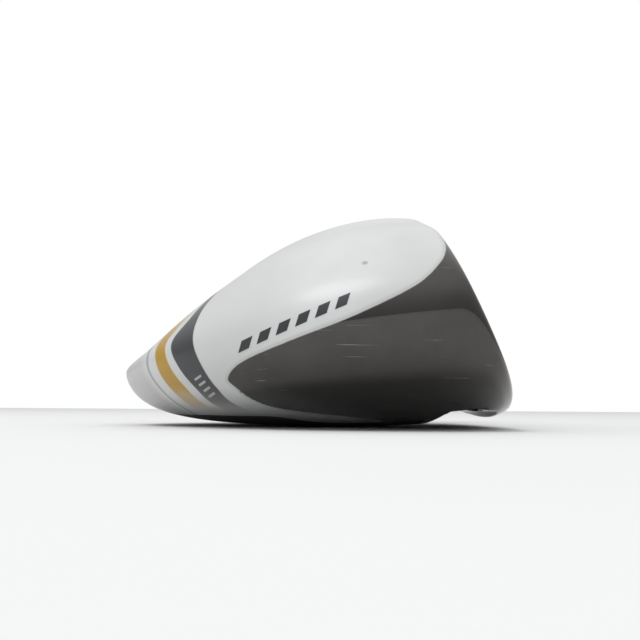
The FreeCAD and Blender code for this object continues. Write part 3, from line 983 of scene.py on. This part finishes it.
# ---- the head -------------------------------------------------------------------------------------
SKIN = Skin()
crown, body, sole = build_skin()
combine(body, face_joint_tool("face_tool"), "DIFFERENCE")
combine(body, trough_piece(), "UNION")
combine(body, pocket_tool(), "DIFFERENCE")
combine(body, rod_tool("bore_tool", MOUTH_AT - BORE_DEPTH - 1, MOUTH_AT + 8, BORE_RADIUS + 0.9), "DIFFERENCE")
face = face_piece()
hosel = hosel_piece()
side_mark = print_piece("side_mark", bar_outlines((-31.9, 10.5), (-15.8, 17.2), 1.65, 0.5, 6, 0.58))
band_mark = print_piece("band_mark", bar_outlines((-38.7, 7.6), (-36.3, 4.3), 0.6, 1.1, 4, 0.34), 0.03)

for piece in (crown, body, sole):
    mark_finishes(piece)

dress(crown, finish_material("white_paint"), "crown")
dress(body, finish_material("black_nickel_steel"), "body")
dress(sole, finish_material("black_sole_paint"), "sole_plate")
dress(face, plain_metal("face_steel", (0.30, 0.29, 0.28), 0.34, 0.14, 5200, 0.5), "face_plate")
dress(hosel, plain_metal("neck_nickel", METAL, 0.05, 0.08, 1400, 0.04), "body")
dress(side_mark, soft_plastic("charcoal_print", CHARCOAL, (0.03, 0.03, 0.034), 0.35, 500), None)
dress(band_mark, soft_plastic("pale_print", (0.45, 0.46, 0.48), (0.36, 0.37, 0.39), 0.4, 500), None)

INNER = {
    "weight_pad": plain_metal("cast_steel", (0.5, 0.49, 0.47), 0.4, 0.15, 900, 0.5),
    "hosel_stopper": soft_plastic("stopper_rubber", (0.02, 0.02, 0.021), (0.035, 0.034, 0.033), 0.6, 700),
    "hot_melt": soft_plastic("hot_melt_glue", (0.72, 0.6, 0.36), (0.62, 0.5, 0.28), 0.28, 180, 0.6),
    "crown_weld": weld_material("weld_bead"),
}
INNER["sole_weld"] = INNER["face_weld"] = INNER["crown_weld"]
for node_name, material in INNER.items():
    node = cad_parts[node_name]
    node.data.materials.clear()
    node.data.materials.append(material)

# ---- the studio -----------------------------------------------------------------------------------
FLOOR_HALF = 3.0
ground = -MOUTH[2] * 0.001
floor_mesh = bpy.data.meshes.new("floor")
corners = [(x * FLOOR_HALF, y * FLOOR_HALF, ground) for x, y in ((-1, -1), (1, -1), (1, 1), (-1, 1))]
floor_mesh.from_pydata(corners, [], [(0, 1, 2, 3)])
floor = bpy.data.objects.new("floor", floor_mesh)
bpy.context.scene.collection.objects.link(floor)
floor_material = bpy.data.materials.new("pale_floor")
floor_nodes = Nodes(floor_material)
pale = floor_nodes.mix(floor_nodes.noise(30, 2), (0.8, 0.8, 0.8), (0.78, 0.78, 0.78))
floor_nodes.surface(Base_Color=pale, Roughness=0.9)
floor_mesh.materials.append(floor_material)

# The light is one soft gradient from the horizon to the sky. Only the camera sees the white backdrop.
world = bpy.data.worlds.new("studio")
bpy.context.scene.world = world
w = Nodes(world)
height = w.add("ShaderNodeSeparateXYZ", {0: w.add("ShaderNodeTexCoord", output=0)}, output=2)
soft_light = w.mix(w.step(height, -0.2, 0.95), (0.4, 0.4, 0.395), (0.98, 0.99, 0.99))
seen_by_camera = w.add("ShaderNodeLightPath", output=0)
backdrop = w.mix(seen_by_camera, soft_light, (1.0, 1.0, 1.0))
background = w.add("ShaderNodeBackground", {"Color": backdrop, "Strength": 1.0})
w.tree.links.new(background, w.tree.nodes.new("ShaderNodeOutputWorld").inputs[0])


def soft_lamp(name, place, aim, size, power):
    lamp = bpy.data.lights.new(name, "AREA")
    lamp.shape = "DISK"
    lamp.size = size
    lamp.energy = power
    holder = bpy.data.objects.new(name, lamp)
    holder.location = place
    holder.rotation_euler = (Vector(aim) - Vector(place)).to_track_quat("-Z", "Y").to_euler()
    bpy.context.scene.collection.objects.link(holder)


soft_lamp("key", (-0.35, -0.45, 0.75), (-0.02, -0.06, -0.02), 0.5, 3.0)

CAMERA_AT = (-19.49, -170.11, 3.0)  # in the head frame
camera = bpy.data.cameras.new("camera")
camera.sensor_width = 36
camera.lens = 52.45
camera.clip_start = 0.005
viewer = bpy.data.objects.new("camera", camera)
bpy.context.scene.collection.objects.link(viewer)
pitch, yaw, roll = (math.radians(a) for a in (5.46, 0.2, 0.39))
ahead = np.array([-math.sin(yaw), math.cos(yaw), 0])
right = np.array([math.cos(yaw), math.sin(yaw), 0])
upright = np.array([0, 0, 1.0])
forward = ahead * math.cos(pitch) + upright * math.sin(pitch)
top = upright * math.cos(pitch) - ahead * math.sin(pitch)
turned_right = right * math.cos(roll) + top * math.sin(roll)
turned_top = top * math.cos(roll) - right * math.sin(roll)
matrix = np.eye(4)
matrix[:3, :3] = np.stack([turned_right, turned_top, -forward], 1)
matrix[:3, 3] = to_scene(CAMERA_AT)
viewer.matrix_world = Matrix(matrix.tolist())
bpy.context.scene.camera = viewer
bpy.context.scene.view_settings.view_transform = "Standard"
